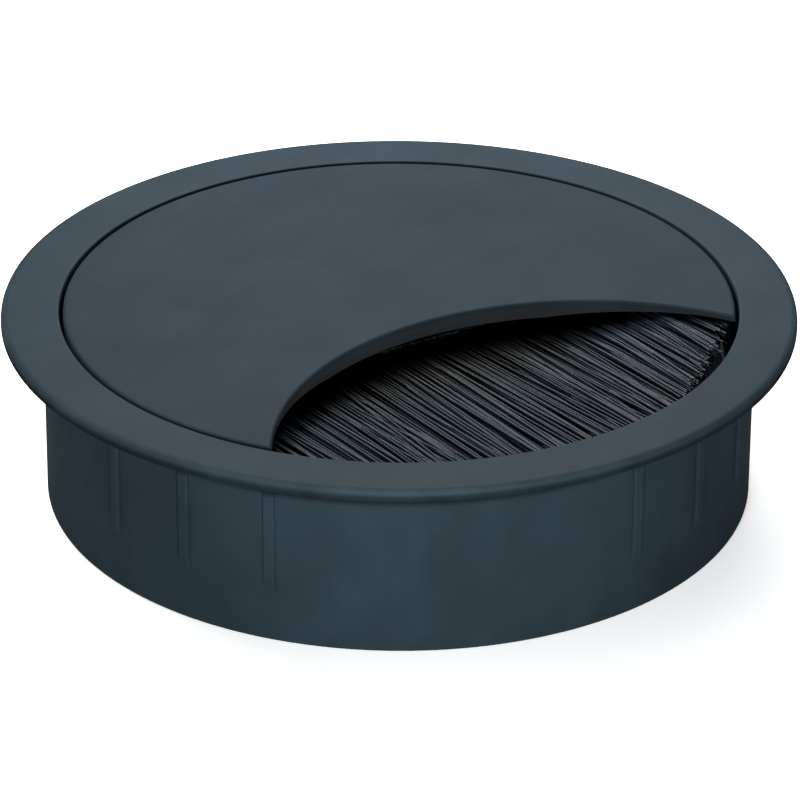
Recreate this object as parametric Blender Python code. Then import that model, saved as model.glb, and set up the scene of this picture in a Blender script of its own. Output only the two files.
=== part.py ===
# Round desk cable grommet with a brush: a flanged sleeve for an 80 mm hole, a turning lift-out cover
# with a concave cable mouth, and a strip brush clamped under the cover that closes the mouth.
# Metres, +Z up, origin at the centre of the sleeve's bottom edge, cable mouth towards -Y.
import bmesh
import bpy
from math import atan2, cos, pi, radians, sin, sqrt
from mathutils import Matrix, Vector

MM = 0.001
GAP = 0.3 * MM              # clearance kept between pieces that touch on the real object
SEGMENTS = 72               # facets round each turned piece

# Sleeve
HEIGHT = 22.0 * MM
FLANGE_RADIUS = 44.5 * MM
FLANGE_EDGE = 1.3 * MM
FLANGE_ROUND = 0.7 * MM
TUBE_RADIUS = 39.85 * MM
SEAT_RADIUS = 38.0 * MM     # bore that the cover drops into
LEDGE_RADIUS = 36.7 * MM
LEDGE_TOP = 14.2 * MM
LEDGE_HEIGHT = 1.0 * MM
FOOT_CHAMFER = 0.4 * MM

# Crush ribs on the tube: four groups of three
RIB_GROUPS = 4
RIBS_IN_GROUP = 3
RIB_PITCH = radians(15)
RIB_PHASE = radians(22.8)
RIB_WIDTH = 1.3 * MM
RIB_HEIGHT = 0.35 * MM
RIB_BOTTOM = 5.6 * MM
RIB_RUNOUT = 2.0 * MM

# Cover
COVER_RADIUS = 37.6 * MM
COVER_PLATE = 2.0 * MM
COVER_EDGE_BEVEL = 0.25 * MM
MOUTH_RADIUS = 34.95 * MM   # radius of the concave bite
MOUTH_CENTRE_Y = -40.54 * MM
SKIRT_OUTER = 37.4 * MM
SKIRT_INNER = 36.2 * MM
SKIRT_MARGIN = radians(8)   # the skirt stops this far short of each tip of the bite
RELIEF_START_X = 13.0 * MM  # towards its tips the plate is hollowed from below, so the bristles can rise
RELIEF_FULL_X = 28.0 * MM
RELIEF_DEPTH = 1.3 * MM
RELIEF_BACK_Y = -8.6 * MM

# Glide ring between the ledge and the skirt
RING_OUTER = 37.6 * MM
RING_INNER = 36.5 * MM
RING_HEIGHT = 1.8 * MM

# Stiffening ribs under the cover, behind the clamp
COVER_RIB_X = (-13.0 * MM, 0.0, 13.0 * MM)
COVER_RIB_START_Y = 11.0 * MM
COVER_RIB_WIDTH = 1.2 * MM
COVER_RIB_DROP = 1.6 * MM

# Brush: channel, core wire, roots and tufts. It is built level, with its lower root edge on the X axis
# and its filaments along -Y, then tipped up and lifted into place under the cover.
BRUSH_TILT = radians(4)
BRUSH_THICKNESS = 2.6 * MM
BRUSH_ROOT_Y = -3.3 * MM
BRUSH_ROOT_Z = HEIGHT - 6.5 * MM
BRUSH_MID = BRUSH_THICKNESS / 2
CHANNEL_DEPTH = 5.5 * MM
CHANNEL_WALL = 0.6 * MM
CHANNEL_LENGTH = 61.0 * MM
CORE_WIRE_RADIUS = 0.5 * MM
BRUSH_LENGTH = 60.2 * MM
TUFTS = 14
TUFT_TIP_RADIUS = 35.9 * MM

# Clamp, its bosses and screws
CLAMP_TOP = HEIGHT - 8.1 * MM
CLAMP_THICKNESS = 1.5 * MM
CLAMP_LENGTH = 54.0 * MM
CLAMP_FRONT_Y = -2.4 * MM
CLAMP_BACK_Y = 9.6 * MM
SCREW_X = 20.0 * MM
SCREW_Y = 6.3 * MM
SCREW_SHANK_RADIUS = 1.2 * MM
SCREW_HOLE_RADIUS = 1.5 * MM
SCREW_HEAD_RADIUS = 2.8 * MM
SCREW_HEAD_HEIGHT = 1.8 * MM
BOSS_RADIUS = 3.0 * MM
BOSS_WALL_LEFT = 0.4 * MM   # cover plate left above the blind pilot hole

# Heights that follow from the sizes above
PLATE_BOTTOM = HEIGHT - COVER_PLATE
RING_BOTTOM = LEDGE_TOP + GAP
RING_TOP = RING_BOTTOM + RING_HEIGHT
SKIRT_BOTTOM = RING_TOP + GAP
CLAMP_BOTTOM = CLAMP_TOP - CLAMP_THICKNESS
HEAD_TOP = CLAMP_BOTTOM - GAP
BOSS_BOTTOM = CLAMP_TOP + GAP
PILOT_TOP = PLATE_BOTTOM - BOSS_WALL_LEFT
CHANNEL_TOP = BRUSH_THICKNESS + GAP + CHANNEL_WALL      # heights and depths in the level brush
CHANNEL_BOTTOM = -GAP - CHANNEL_WALL
CHANNEL_MOUTH = GAP
CHANNEL_BACK = CHANNEL_MOUTH + CHANNEL_DEPTH
WIRE_Y = CHANNEL_BACK - CHANNEL_WALL - GAP - BRUSH_THICKNESS / 2

PLASTIC = ((0.061, 0.084, 0.102, 1), 0.55, 0.0)
DARK_PLASTIC = ((0.035, 0.050, 0.060, 1), 0.50, 0.0)
NYLON = ((0.040, 0.050, 0.060, 1), 0.45, 0.0)
ACETAL = ((0.055, 0.065, 0.072, 1), 0.35, 0.0)
ZINC = ((0.55, 0.56, 0.57, 1), 0.30, 1.0)
STEEL = ((0.45, 0.45, 0.46, 1), 0.35, 1.0)


def make_material(name, finish):
    colour, roughness, metallic = finish
    material = bpy.data.materials.new(name)
    material.use_nodes = True
    shader = material.node_tree.nodes["Principled BSDF"]
    shader.inputs["Base Color"].default_value = colour
    shader.inputs["Roughness"].default_value = roughness
    shader.inputs["Metallic"].default_value = metallic
    return material


def make_object(name, shape, finish, place=(0, 0, 0)):
    bmesh.ops.recalc_face_normals(shape, faces=shape.faces)
    mesh = bpy.data.meshes.new(name)
    shape.to_mesh(mesh)
    shape.free()
    mesh.shade_smooth()
    mesh.set_sharp_from_angle(angle=radians(35))
    obj = bpy.data.objects.new(name, mesh)
    obj.location = place
    bpy.context.collection.objects.link(obj)
    if finish:
        obj.data.materials.append(make_material(name, finish))
    return obj


def turned(profile, segments=SEGMENTS):
    # a closed outline of (radius, height) points, spun once round Z
    shape = bmesh.new()
    corners = [shape.verts.new((r, 0, z)) for r, z in profile]
    edges = [shape.edges.new((a, b)) for a, b in zip(corners, corners[1:] + corners[:1])]
    bmesh.ops.spin(shape, geom=corners + edges, cent=(0, 0, 0), axis=(0, 0, 1),
                   angle=2 * pi, steps=segments, use_merge=True)
    return shape


def extruded(outline, direction):
    # a flat outline of 3-D points, pushed along a direction
    shape = bmesh.new()
    face = shape.faces.new([shape.verts.new(p) for p in outline])
    grown = bmesh.ops.extrude_face_region(shape, geom=[face])["geom"]
    moved = [item for item in grown if isinstance(item, bmesh.types.BMVert)]
    bmesh.ops.translate(shape, verts=moved, vec=direction)
    return shape


def bevel_edges(shape, chosen, width, segments=2):
    edges = [edge for edge in shape.edges if chosen(edge)]
    bmesh.ops.bevel(shape, geom=edges, offset=width, segments=segments,
                    profile=0.5, affect="EDGES", clamp_overlap=True)


def cylinder(radius, bottom, top, segments=24):
    shape = bmesh.new()
    bmesh.ops.create_cone(shape, cap_ends=True, segments=segments, radius1=radius, radius2=radius,
                          depth=top - bottom, matrix=Matrix.Translation((0, 0, (top + bottom) / 2)))
    return shape


def block(low, high):
    size = [abs(b - a) for a, b in zip(low, high)]
    middle = [(a + b) / 2 for a, b in zip(low, high)]
    shape = bmesh.new()
    bmesh.ops.create_cube(shape, size=1, matrix=Matrix.Translation(middle) @ Matrix.Diagonal((*size, 1)))
    return shape


def combine(target, others, operation):
    # leaves each other object as a hidden wire guide
    for other in others:
        step = target.modifiers.new(other.name, "BOOLEAN")
        step.operation = operation
        step.object = other
        other.hide_render = True
        other.display_type = "WIRE"


def arc_points(radius, start, end, count, centre_y=0.0):
    steps = [start + (end - start) * i / count for i in range(count + 1)]
    return [(radius * cos(a), centre_y + radius * sin(a)) for a in steps]


def rounded_corner(centre, radius, start, end, count=3):
    # (radius, height) points of a quarter round in a turned profile
    steps = [start + (end - start) * i / count for i in range(count + 1)]
    return [(centre[0] + radius * cos(a), centre[1] + radius * sin(a)) for a in steps]


def mouth_tip_angle():
    # angle from -Y to each tip, where the bite's circle meets the cover's rim
    reach = (COVER_RADIUS ** 2 - MOUTH_RADIUS ** 2 + MOUTH_CENTRE_Y ** 2) / (2 * MOUTH_CENTRE_Y)
    return atan2(sqrt(COVER_RADIUS ** 2 - reach ** 2), -reach)


def make_sleeve():
    underside = HEIGHT - FLANGE_EDGE
    round_centre = (FLANGE_RADIUS - FLANGE_ROUND, HEIGHT - FLANGE_ROUND)
    profile = [(SEAT_RADIUS, 0), (TUBE_RADIUS - FOOT_CHAMFER, 0), (TUBE_RADIUS, FOOT_CHAMFER),
               (TUBE_RADIUS, underside), (FLANGE_RADIUS, underside)]
    profile += rounded_corner(round_centre, FLANGE_ROUND, 0, pi / 2)
    profile += [(SEAT_RADIUS + 0.2 * MM, HEIGHT), (SEAT_RADIUS, HEIGHT - 0.2 * MM),
                (SEAT_RADIUS, LEDGE_TOP), (LEDGE_RADIUS, LEDGE_TOP),
                (LEDGE_RADIUS, LEDGE_TOP - LEDGE_HEIGHT),
                (SEAT_RADIUS, LEDGE_TOP - LEDGE_HEIGHT - (SEAT_RADIUS - LEDGE_RADIUS))]
    sleeve = make_object("sleeve", turned(profile), PLASTIC)
    ribs = make_object("crush_rib_guide", crush_ribs(underside), None)
    combine(sleeve, [ribs], "UNION")


def crush_ribs(underside):
    # each rib is a bar let into the wall, running out to nothing at its lower end
    root = TUBE_RADIUS - 0.5 * MM
    crest = TUBE_RADIUS + RIB_HEIGHT
    top = underside + 0.4 * MM
    side = [(root, RIB_BOTTOM), (crest, RIB_BOTTOM + RIB_RUNOUT), (crest, top), (root, top)]
    ribs = bmesh.new()
    for group in range(RIB_GROUPS):
        for rib in range(RIBS_IN_GROUP):
            turn = RIB_PHASE + group * 2 * pi / RIB_GROUPS + (rib - (RIBS_IN_GROUP - 1) / 2) * RIB_PITCH
            rows = []
            for offset in (-RIB_WIDTH / 2, RIB_WIDTH / 2):
                rows.append([ribs.verts.new((x, offset, z)) for x, z in side])
            left, right = rows
            ribs.faces.new(left)
            ribs.faces.new(right[::-1])
            for i in range(len(side)):
                j = (i + 1) % len(side)
                ribs.faces.new((left[j], left[i], right[i], right[j]))
            bmesh.ops.rotate(ribs, verts=left + right, cent=(0, 0, 0), matrix=Matrix.Rotation(turn, 3, "Z"))
    return ribs


def make_glide_ring():
    bevel = 0.25 * MM
    profile = [(RING_INNER, RING_BOTTOM), (RING_OUTER, RING_BOTTOM), (RING_OUTER, RING_TOP - bevel),
               (RING_OUTER - bevel, RING_TOP), (RING_INNER + bevel, RING_TOP), (RING_INNER, RING_TOP - bevel)]
    return make_object("glide_ring", turned(profile), ACETAL)


def make_cover(parent):
    tip = mouth_tip_angle()
    rim = arc_points(COVER_RADIUS, -pi / 2 + tip, 1.5 * pi - tip, 58)
    reach = atan2(rim[0][1] - MOUTH_CENTRE_Y, rim[0][0])
    bite = arc_points(MOUTH_RADIUS, pi - reach, reach, 32, MOUTH_CENTRE_Y)
    outline = rim + bite[1:-1]
    plate = extruded([(x, y, PLATE_BOTTOM) for x, y in outline], (0, 0, COVER_PLATE))
    bevel_edges(plate, lambda e: all(v.co.z > HEIGHT - GAP for v in e.verts), COVER_EDGE_BEVEL)
    cover = make_object("cover", plate, PLASTIC)
    cover.parent = parent

    reliefs = []
    for side, label in ((-1, "left"), (1, "right")):
        below, roof, far = PLATE_BOTTOM - MM, PLATE_BOTTOM + RELIEF_DEPTH, COVER_RADIUS + MM
        section = [(RELIEF_START_X, below), (RELIEF_START_X, PLATE_BOTTOM),
                   (RELIEF_FULL_X, roof), (far, roof), (far, below)]
        wedge = extruded([(side * x, RELIEF_BACK_Y, z) for x, z in section], (0, -far, 0))
        reliefs.append(make_object("relief_guide_" + label, wedge, None))
    combine(cover, reliefs, "DIFFERENCE")

    start, end = -pi / 2 + tip + SKIRT_MARGIN, 1.5 * pi - tip - SKIRT_MARGIN
    band = arc_points(SKIRT_OUTER, start, end, 48) + arc_points(SKIRT_INNER, end, start, 48)
    into_plate = PLATE_BOTTOM + 0.3 * MM
    skirt = extruded([(x, y, SKIRT_BOTTOM) for x, y in band], (0, 0, into_plate - SKIRT_BOTTOM))
    added = [make_object("skirt_guide", skirt, None)]
    pilot_holes = []
    for side, label in ((-1, "left"), (1, "right")):
        spot = (side * SCREW_X, SCREW_Y, 0)
        boss = cylinder(BOSS_RADIUS, BOSS_BOTTOM, into_plate)
        added.append(make_object("boss_guide_" + label, boss, None, spot))
        hole = cylinder(SCREW_HOLE_RADIUS, BOSS_BOTTOM - MM, PILOT_TOP)
        pilot_holes.append(make_object("pilot_guide_" + label, hole, None, spot))
        # end stops locate the channel lengthwise
        inner_x = CHANNEL_LENGTH / 2 + GAP
        stop = block((side * inner_x, -2 * MM, BRUSH_ROOT_Z), (side * (inner_x + 2 * MM), 2 * MM, into_plate))
        added.append(make_object("end_stop_guide_" + label, stop, None))
    for number, x in enumerate(COVER_RIB_X):
        end_y = sqrt(SKIRT_INNER ** 2 - x ** 2) + 0.4 * MM
        rib = block((x - COVER_RIB_WIDTH / 2, COVER_RIB_START_Y, PLATE_BOTTOM - COVER_RIB_DROP),
                    (x + COVER_RIB_WIDTH / 2, end_y, into_plate))
        added.append(make_object("cover_rib_guide_%d" % number, rib, None))
    # low pads that the top of the tipped channel rests under
    pad_bottom = BRUSH_ROOT_Z + CHANNEL_TOP + GAP
    for number, x in enumerate(COVER_RIB_X):
        pad = block((x - 3 * MM, BRUSH_ROOT_Y + MM, pad_bottom), (x + 3 * MM, 0, into_plate))
        added.append(make_object("pad_guide_%d" % number, pad, None))
    combine(cover, added, "UNION")
    combine(cover, pilot_holes, "DIFFERENCE")
    return cover


def tip_up(obj, parent, x=0.0):
    # from the level brush to its place: the lower root edge is also the line that the tufts bend about
    obj.location = (x, BRUSH_ROOT_Y, BRUSH_ROOT_Z)
    obj.rotation_euler = (-BRUSH_TILT, 0, 0)
    obj.parent = parent


def make_brush_channel(parent):
    front, back, wall = CHANNEL_MOUTH, CHANNEL_BACK, CHANNEL_WALL
    section = [(front, CHANNEL_BOTTOM), (back, CHANNEL_BOTTOM), (back, CHANNEL_TOP), (front, CHANNEL_TOP),
               (front, CHANNEL_TOP - wall), (back - wall, CHANNEL_TOP - wall),
               (back - wall, CHANNEL_BOTTOM + wall), (front, CHANNEL_BOTTOM + wall)]
    start = -CHANNEL_LENGTH / 2
    shape = extruded([(start, y, z) for y, z in section], (CHANNEL_LENGTH, 0, 0))

    def is_outer_fold(edge):
        a, b = edge.verts
        along = abs(a.co.x - b.co.x) > MM
        return along and a.co.y > back - wall / 2
    bevel_edges(shape, is_outer_fold, 0.5 * MM)
    tip_up(make_object("brush_channel", shape, ZINC), parent)


def make_core_wire(parent):
    place = Matrix.Translation((0, WIRE_Y, BRUSH_MID)) @ Matrix.Rotation(pi / 2, 4, "Y")
    shape = bmesh.new()
    bmesh.ops.create_cone(shape, cap_ends=True, segments=16, radius1=CORE_WIRE_RADIUS,
                          radius2=CORE_WIRE_RADIUS, depth=CHANNEL_LENGTH - MM, matrix=place)
    tip_up(make_object("brush_core_wire", shape, STEEL), parent)


def make_bristle_roots(parent):
    # the filaments' middles, folded round the core wire: a flat pad with a round back
    half = BRUSH_THICKNESS / 2
    back = [(WIRE_Y + half * cos(a), BRUSH_MID + half * sin(a))
            for a in (-pi / 2 + pi * i / 8 for i in range(9))]
    section = [(CHANNEL_MOUTH, BRUSH_MID - half)] + back + [(CHANNEL_MOUTH, BRUSH_MID + half)]
    shape = extruded([(-BRUSH_LENGTH / 2, y, z) for y, z in section], (BRUSH_LENGTH, 0, 0))
    roots = make_object("bristle_roots", shape, NYLON)
    tip_up(roots, parent)
    place = Matrix.Translation((0, WIRE_Y, BRUSH_MID)) @ Matrix.Rotation(pi / 2, 4, "Y")
    bore = bmesh.new()
    bore_radius = CORE_WIRE_RADIUS + GAP
    bmesh.ops.create_cone(bore, cap_ends=True, segments=16, radius1=bore_radius, radius2=bore_radius,
                          depth=CHANNEL_LENGTH + MM, matrix=place)
    guide = make_object("wire_bore_guide", bore, None)
    tip_up(guide, parent)
    combine(roots, [guide], "DIFFERENCE")


def make_tufts(parent):
    # free lengths of the filaments in front of the channel, cut to a circle inside the sleeve
    pitch = BRUSH_LENGTH / TUFTS
    for index in range(TUFTS):
        middle = -BRUSH_LENGTH / 2 + (index + 0.5) * pitch
        half = (pitch - GAP) / 2
        tip = [(x, -sqrt(TUFT_TIP_RADIUS ** 2 - (middle + x) ** 2) - BRUSH_ROOT_Y) for x in (-half, 0, half)]
        outline = [(half, 0)] + [(-half, 0)] + tip
        shape = extruded([(x, y, 0) for x, y in outline], (0, 0, BRUSH_THICKNESS))
        tip_up(make_object("bristle_tuft_%02d" % (index + 1), shape, NYLON), parent, middle)


def make_clamp(parent):
    half = CLAMP_LENGTH / 2
    outline = [(-half, CLAMP_FRONT_Y), (half, CLAMP_FRONT_Y), (half, CLAMP_BACK_Y), (-half, CLAMP_BACK_Y)]
    shape = extruded([(x, y, CLAMP_BOTTOM) for x, y in outline], (0, 0, CLAMP_THICKNESS))

    def is_corner(edge):
        a, b = edge.verts
        return abs(a.co.z - b.co.z) > MM
    bevel_edges(shape, is_corner, 2.5 * MM, 4)
    clamp = make_object("brush_clamp", shape, DARK_PLASTIC)
    clamp.parent = parent
    holes = []
    for side, label in ((-1, "left"), (1, "right")):
        hole = cylinder(SCREW_HOLE_RADIUS, CLAMP_BOTTOM - MM, CLAMP_TOP + MM)
        holes.append(make_object("clamp_hole_guide_" + label, hole, None, (side * SCREW_X, SCREW_Y, 0)))
    combine(clamp, holes, "DIFFERENCE")


def make_screws(parent):
    # pan-head thread-forming screws, head down; profile from the point at the top to the head below
    shank_top = PILOT_TOP - GAP
    head_bottom = HEAD_TOP - SCREW_HEAD_HEIGHT
    for side, label in ((-1, "left"), (1, "right")):
        shape = bmesh.new()
        profile = [(0, shank_top), (SCREW_SHANK_RADIUS * 0.6, shank_top),
                   (SCREW_SHANK_RADIUS, shank_top - 0.8 * MM), (SCREW_SHANK_RADIUS, HEAD_TOP),
                   (SCREW_HEAD_RADIUS, HEAD_TOP), (SCREW_HEAD_RADIUS, head_bottom + 0.9 * MM),
                   (SCREW_HEAD_RADIUS * 0.8, head_bottom + 0.25 * MM),
                   (SCREW_HEAD_RADIUS * 0.45, head_bottom), (0, head_bottom)]
        corners = [shape.verts.new((r, 0, z)) for r, z in profile]
        edges = [shape.edges.new(pair) for pair in zip(corners, corners[1:])]
        bmesh.ops.spin(shape, geom=corners + edges, cent=(0, 0, 0), axis=(0, 0, 1),
                       angle=2 * pi, steps=24, use_merge=True)
        bmesh.ops.remove_doubles(shape, verts=shape.verts, dist=0.001 * MM)
        screw = make_object("clamp_screw_" + label, shape, ZINC, (side * SCREW_X, SCREW_Y, 0))
        screw.parent = parent
        recess = bmesh.new()
        for size in ((2.6, 0.7, 1.6), (0.7, 2.6, 1.6)):
            scale = Matrix.Diagonal((size[0] * MM, size[1] * MM, size[2] * MM, 1))
            bmesh.ops.create_cube(recess, size=1, matrix=Matrix.Translation((0, 0, head_bottom)) @ scale)
        step = make_object("recess_guide_" + label, recess, None, (side * SCREW_X, SCREW_Y, 0))
        combine(screw, [step], "DIFFERENCE")
        screw.modifiers[-1].use_self = True


def main():
    for old in list(bpy.data.objects):
        bpy.data.objects.remove(old)
    make_sleeve()
    ring = make_glide_ring()
    cover = make_cover(ring)
    make_brush_channel(cover)
    make_core_wire(cover)
    make_bristle_roots(cover)
    make_tufts(cover)
    make_clamp(cover)
    make_screws(cover)


main()
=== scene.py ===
from math import atan2, cos, pi, radians, sin, sqrt

import bmesh
import bpy
import numpy as np
from mathutils import Matrix, Vector


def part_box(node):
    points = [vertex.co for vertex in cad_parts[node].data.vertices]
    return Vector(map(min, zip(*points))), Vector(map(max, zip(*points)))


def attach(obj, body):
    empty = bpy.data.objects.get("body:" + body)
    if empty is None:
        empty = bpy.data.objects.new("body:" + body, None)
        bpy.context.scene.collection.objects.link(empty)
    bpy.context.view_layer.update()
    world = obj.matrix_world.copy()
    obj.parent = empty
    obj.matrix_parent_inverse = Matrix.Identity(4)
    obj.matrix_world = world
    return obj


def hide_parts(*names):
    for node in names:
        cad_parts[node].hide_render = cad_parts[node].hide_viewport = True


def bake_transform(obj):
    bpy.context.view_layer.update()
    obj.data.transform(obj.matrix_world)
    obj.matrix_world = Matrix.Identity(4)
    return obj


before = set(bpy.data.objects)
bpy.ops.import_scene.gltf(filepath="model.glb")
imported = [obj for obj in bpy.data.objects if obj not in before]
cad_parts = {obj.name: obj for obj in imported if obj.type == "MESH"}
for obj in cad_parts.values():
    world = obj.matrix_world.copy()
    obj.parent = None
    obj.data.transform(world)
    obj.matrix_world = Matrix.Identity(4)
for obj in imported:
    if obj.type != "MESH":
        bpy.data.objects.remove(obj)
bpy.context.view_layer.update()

mm = 0.001
hair = 0.01 * mm                        # two heights or edges closer than this count as the same
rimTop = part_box("sleeve")[1].z          # the cover lies flush with this height
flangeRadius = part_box("sleeve")[1].x
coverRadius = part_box("cover")[1].x
mouth = {"radius": 34.95, "centreY": -40.54}                   # the bite out of the cover
hinge = {"y": -3.3, "belowRim": 6.5, "tilt": radians(4)}       # the tufts' lower root edge
brushLayer = {"length": 60.2, "thickness": 2.6}
clearance = 0.3                                                # left between pieces, in millimetres
print("frame loaded, flange radius", round(flangeRadius / mm, 2), "mm")


# working the mesh

def restAll():
    if bpy.context.object and bpy.context.object.mode != "OBJECT":
        bpy.ops.object.mode_set(mode="OBJECT")
    bpy.ops.object.select_all(action="DESELECT")


def makeActive(piece):
    restAll()
    piece.select_set(True)
    bpy.context.view_layer.objects.active = piece
    return piece


def closePiece(piece):
    # back to object mode, with the place, turn and scale moved into the mesh
    makeActive(piece)
    bpy.ops.object.transform_apply(location=True, rotation=True, scale=True)
    return piece


def openPiece(piece, name=None):
    makeActive(piece)
    if name:
        piece.name = piece.data.name = name
    bpy.ops.object.mode_set(mode="EDIT")
    return piece


def pick(kind, test):
    # selects the open piece's vertices, edges or faces that pass the test
    bpy.ops.mesh.select_mode(type=kind)
    bpy.ops.mesh.select_all(action="DESELECT")
    mesh = bpy.context.object.data
    shape = bmesh.from_edit_mesh(mesh)
    for item in {"VERT": shape.verts, "EDGE": shape.edges, "FACE": shape.faces}[kind]:
        if test(item):
            item.select_set(True)
    bmesh.update_edit_mesh(mesh)


def atHeight(edge, height):
    return all(abs(v.co.z - height) < hair for v in edge.verts)


def isUpright(edge):
    return abs(edge.verts[0].co.z - edge.verts[1].co.z) > mm


def runsAcross(edge):
    return abs(edge.verts[0].co.x - edge.verts[1].co.x) > mm


def applyModifier(piece, kind, **settings):
    makeActive(piece)
    step = piece.modifiers.new(kind.title(), kind)
    for key, value in settings.items():
        setattr(step, key, value)
    bpy.ops.object.modifier_apply(modifier=step.name)
    return piece


def combine(piece, tool, operation="DIFFERENCE"):
    applyModifier(piece, "BOOLEAN", object=tool, operation=operation, solver="EXACT")
    bpy.data.objects.remove(tool)
    return piece


def joinInto(piece, others):
    restAll()
    for other in others:
        other.select_set(True)
    piece.select_set(True)
    bpy.context.view_layer.objects.active = piece
    bpy.ops.object.join()
    return piece


def smoothOff(piece, angle=35):
    # smooth shading that keeps flat faces flat beside their rounded edges
    makeActive(piece)
    bpy.ops.object.shade_smooth_by_angle(angle=radians(angle))
    applyModifier(piece, "WEIGHTED_NORMAL", weight=100, keep_sharp=True)
    return piece


def copyPiece(piece, name):
    twin = piece.copy()
    twin.data = piece.data.copy()
    twin.name = twin.data.name = name
    bpy.context.collection.objects.link(twin)
    return twin


def roundedOutline(corners, steps=5, support=0.12):
    # corners of (radius, height, rounding) in millimetres; a rounded corner becomes a short curve
    # with a supporting point on the flat either side of it
    points = []
    for before, corner, after in zip(corners[-1:] + corners[:-1], corners, corners[1:] + corners[:1]):
        here, rounding = Vector(corner[:2]), corner[2]
        back, ahead = (Vector(before[:2]) - here).normalized(), (Vector(after[:2]) - here).normalized()
        points.append(here + back * (rounding + support))
        for i in range(steps + 1):
            t = i / steps
            points.append(here + back * rounding * (1 - t) ** 2 + ahead * rounding * t ** 2)
        points.append(here + ahead * (rounding + support))
    return [(p.x * mm, p.y * mm) for p in points]


def turnPiece(name, outline, sides, closed=True):
    # a circle drawn out and resized step by step along an outline; a ring is bridged shut at the end
    restAll()
    radius, height = outline[0]
    fill = "NOTHING" if closed else "NGON"
    bpy.ops.mesh.primitive_circle_add(vertices=sides, radius=radius, location=(0, 0, height),
                                      fill_type=fill)
    piece = openPiece(bpy.context.object, name)
    bpy.ops.mesh.select_all(action="SELECT")
    for nextRadius, nextHeight in outline[1:]:
        bpy.ops.mesh.extrude_region_move(TRANSFORM_OT_translate={"value": (0, 0, nextHeight - height)})
        grow = nextRadius / radius
        bpy.ops.transform.resize(value=(grow, grow, 1), center_override=(0, 0, nextHeight))
        radius, height = nextRadius, nextHeight
    if closed:
        pick("EDGE", lambda edge: edge.is_boundary)
        bpy.ops.mesh.bridge_edge_loops()
    bpy.ops.mesh.select_all(action="SELECT")
    bpy.ops.mesh.normals_make_consistent(inside=False)
    return closePiece(piece)


def addBlock(name, low, high):
    # a cube stretched between two corners and left open in edit mode
    restAll()
    bpy.ops.mesh.primitive_cube_add(size=1, location=[(a + b) / 2 for a, b in zip(low, high)])
    piece = bpy.context.object
    piece.scale = [abs(b - a) for a, b in zip(low, high)]
    return openPiece(closePiece(piece), name)


def addRod(name, radius, bottom, top, place=(0, 0), sides=48):
    restAll()
    bpy.ops.mesh.primitive_cylinder_add(vertices=sides, radius=radius, depth=top - bottom,
                                        location=(*place, (top + bottom) / 2))
    return openPiece(closePiece(bpy.context.object), name)


# materials

class Wire:
    # one socket of a material, so that shader maths reads as plain sums
    def __init__(self, finish, socket):
        self.finish = finish
        self.socket = socket

    def maths(self, operation, first, second=0.0):
        return self.finish.add("ShaderNodeMath", {"operation": operation}, {0: first, 1: second})

    def size(self):
        return self.maths("ABSOLUTE", self)

    def __add__(self, other):
        return self.maths("ADD", self, other)

    def __radd__(self, other):
        return self.maths("ADD", other, self)

    def __sub__(self, other):
        return self.maths("SUBTRACT", self, other)

    def __rsub__(self, other):
        return self.maths("SUBTRACT", other, self)

    def __mul__(self, other):
        return self.maths("MULTIPLY", self, other)

    def __rmul__(self, other):
        return self.maths("MULTIPLY", other, self)

    def __pow__(self, other):
        return self.maths("POWER", self, other)


def opaque(tone):
    return (*tone, 1) if len(tone) == 3 else tone


def scaled(tone, amount):
    return [channel * amount for channel in tone]


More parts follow.
